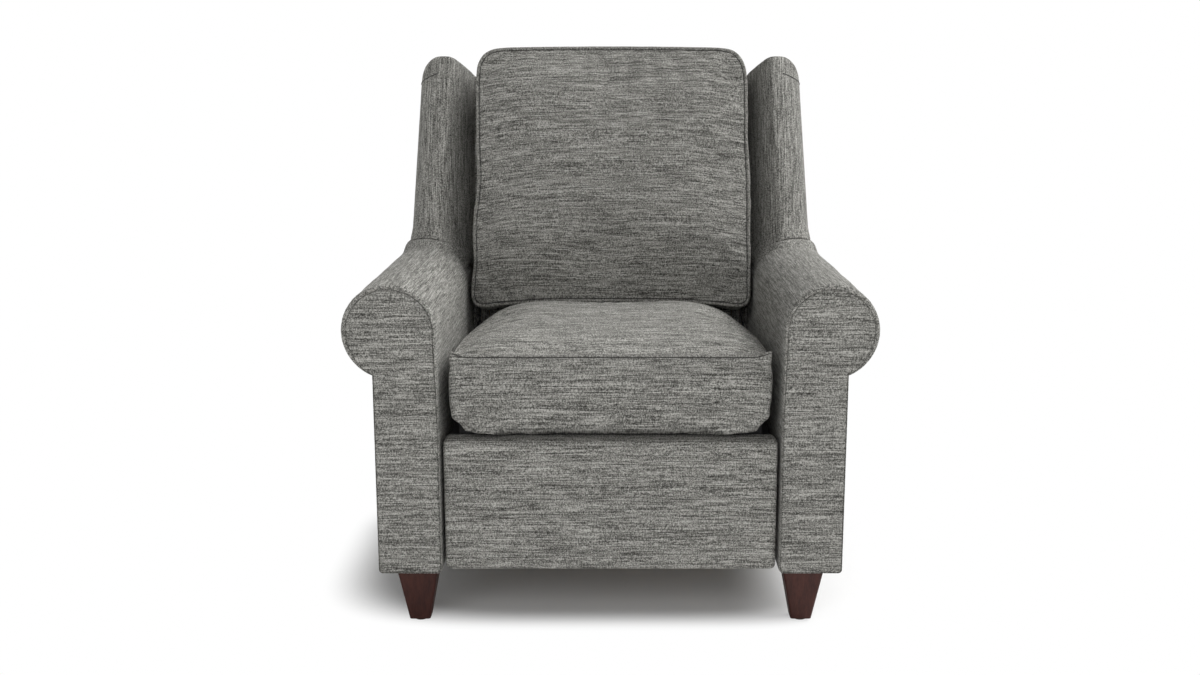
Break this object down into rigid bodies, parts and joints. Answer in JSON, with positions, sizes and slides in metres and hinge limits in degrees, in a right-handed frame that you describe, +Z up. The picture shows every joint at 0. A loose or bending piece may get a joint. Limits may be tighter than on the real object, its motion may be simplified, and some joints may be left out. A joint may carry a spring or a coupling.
{
  "type": "power recliner",
  "caption": "Upholstered power recliner with rolled arms, winged back, boxed seat cushion, fold-out footrest on a link mechanism and tapered wood legs.",
  "frame": {"origin": "on the floor, below the middle of the chair's box", "axes": "+Z up, the sitter faces -Y, +X is to the right seen from the front"},
  "size_m": [0.914, 0.85, 1.009],
  "materials": {
    "upholstery": "heathered woven upholstery over foam",
    "frame_wood": "bare kiln dried hardwood and plywood",
    "leg_wood": "dark stained, satin lacquer",
    "glide": "moulded nylon",
    "zinc_steel": "zinc plated",
    "black_steel": "black powder coat",
    "motor_plastic": "fine textured moulding",
    "panel_plastic": "satin moulding",
    "button_plastic": "satin moulding",
    "deck_cloth": "needled felt",
    "webbing": "woven elastic webbing"
  },
  "bodies": {
    "base": {"arm_right": "upholstery", "arm_left": "upholstery", "seat_cushion": "upholstery", "rear_base_rail": "upholstery", "arm_frame_right": "frame_wood", "arm_frame_left": "frame_wood", "front_stretcher": "frame_wood", "seat_side_rails": "frame_wood", "seat_rear_rail": "frame_wood", "leg_front_left": "leg_wood", "leg_front_right": "leg_wood", "leg_rear_left": "leg_wood", "leg_rear_right": "leg_wood", "leg_glides": "glide", "leg_bolts": "zinc_steel", "plate_spacers": "zinc_steel", "plate_pivot_pins": "zinc_steel", "seat_springs": "zinc_steel", "mechanism_plate_right": "black_steel", "mechanism_plate_left": "black_steel", "front_cross_tube": "black_steel", "rear_cross_tube": "black_steel", "recline_tube": "black_steel", "footrest_tube": "black_steel", "recline_motor": "motor_plastic", "footrest_motor": "motor_plastic", "control_box": "motor_plastic", "control_panel": "panel_plastic", "power_inlet": "panel_plastic", "seat_deck": "deck_cloth", "seat_front_rail": "deck_cloth"},
    "back": {"back_frame": "frame_wood", "back_webbing": "webbing", "back_bracket_right": "black_steel", "back_bracket_left": "black_steel", "back_pivot_pins": "zinc_steel", "back_cross_tube": "black_steel", "wing_right": "upholstery", "wing_left": "upholstery", "outside_back": "upholstery", "back_cushion": "upholstery", "lower_back_panel": "upholstery"},
    "main_link": {"main_links": "black_steel", "main_link_pins": "zinc_steel", "drive_crossbar": "black_steel"},
    "guide_link": {"guide_links": "black_steel"},
    "carrier_link": {"carrier_links": "black_steel", "carrier_link_pins": "zinc_steel"},
    "control_link": {"control_links": "black_steel"},
    "footrest": {"footrest_brackets": "black_steel", "bracket_pins": "zinc_steel", "footrest_board": "frame_wood", "footrest_pad": "upholstery"},
    "drive_link": {"drive_links": "black_steel"},
    "footrest_rod": {"footrest_rod": "zinc_steel"},
    "recline_rod": {"recline_rod": "zinc_steel"},
    "button_1": {"button_1": "button_plastic"},
    "button_2": {"button_2": "button_plastic"},
    "button_3": {"button_3": "button_plastic"},
    "button_4": {"button_4": "button_plastic"}
  },
  "joints": [
    {"name": "back_recline", "type": "hinge", "parent": "base", "child": "back", "pos_m": [0, 0.21501, 0.412], "axis": [-1, 0, 0], "range_deg": [0, 26]},
    {"name": "recline_rod_slide", "type": "slide", "parent": "base", "child": "recline_rod", "axis": [0, -1, 0], "range_m": [0, 0.0496]},
    {"name": "footrest_open", "type": "hinge", "parent": "base", "child": "main_link", "pos_m": [0, -0.25969, 0.2989], "axis": [-1, 0, 0], "range_deg": [0, 113.5]},
    {"name": "guide_pivot", "type": "hinge", "parent": "base", "child": "guide_link", "pos_m": [0, -0.30469, 0.3019], "axis": [-1, 0, 0], "range_deg": [0, 115.2]},
    {"name": "carrier_pivot", "type": "hinge", "parent": "main_link", "child": "carrier_link", "pos_m": [0, -0.15624, 0.14553], "axis": [-1, 0, 0], "range_deg": [-123.8, 0]},
    {"name": "control_pivot", "type": "hinge", "parent": "main_link", "child": "control_link", "pos_m": [0, -0.13292, 0.16729], "axis": [-1, 0, 0], "range_deg": [-126.8, 0]},
    {"name": "footrest_hinge", "type": "hinge", "parent": "carrier_link", "child": "footrest", "pos_m": [0, -0.33369, 0.2794], "axis": [-1, 0, 0], "range_deg": [0, 100.3]},
    {"name": "drive_pivot", "type": "hinge", "parent": "main_link", "child": "drive_link", "pos_m": [0, -0.22607, 0.27723], "axis": [-1, 0, 0], "range_deg": [-113.8, 0]},
    {"name": "footrest_rod_slide", "type": "slide", "parent": "base", "child": "footrest_rod", "axis": [0, -1, 0], "range_m": [0, 0.0671]},
    {"name": "button_1_press", "type": "slide", "parent": "base", "child": "button_1", "axis": [1, 0, 0], "range_m": [0, 0.002], "stiffness_N_per_m": 400},
    {"name": "button_2_press", "type": "slide", "parent": "base", "child": "button_2", "axis": [1, 0, 0], "range_m": [0, 0.002], "stiffness_N_per_m": 400},
    {"name": "button_3_press", "type": "slide", "parent": "base", "child": "button_3", "axis": [1, 0, 0], "range_m": [0, 0.002], "stiffness_N_per_m": 400},
    {"name": "button_4_press", "type": "slide", "parent": "base", "child": "button_4", "axis": [1, 0, 0], "range_m": [0, 0.002], "stiffness_N_per_m": 400}
  ],
  "couplings": [
    {"joint": "recline_rod_slide", "follows": "back_recline", "m_per_rad": 0.10906},
    {"joint": "footrest_rod_slide", "follows": "footrest_open", "m_per_rad": 0.033772},
    {"joint": "carrier_pivot", "follows": "footrest_open", "ratio": -1.0884},
    {"joint": "footrest_hinge", "follows": "footrest_open", "ratio": 0.88134},
    {"joint": "guide_pivot", "follows": "footrest_open", "ratio": 1.0123},
    {"joint": "control_pivot", "follows": "footrest_open", "ratio": -1.1145},
    {"joint": "drive_pivot", "follows": "footrest_open", "ratio": -1}
  ]
}
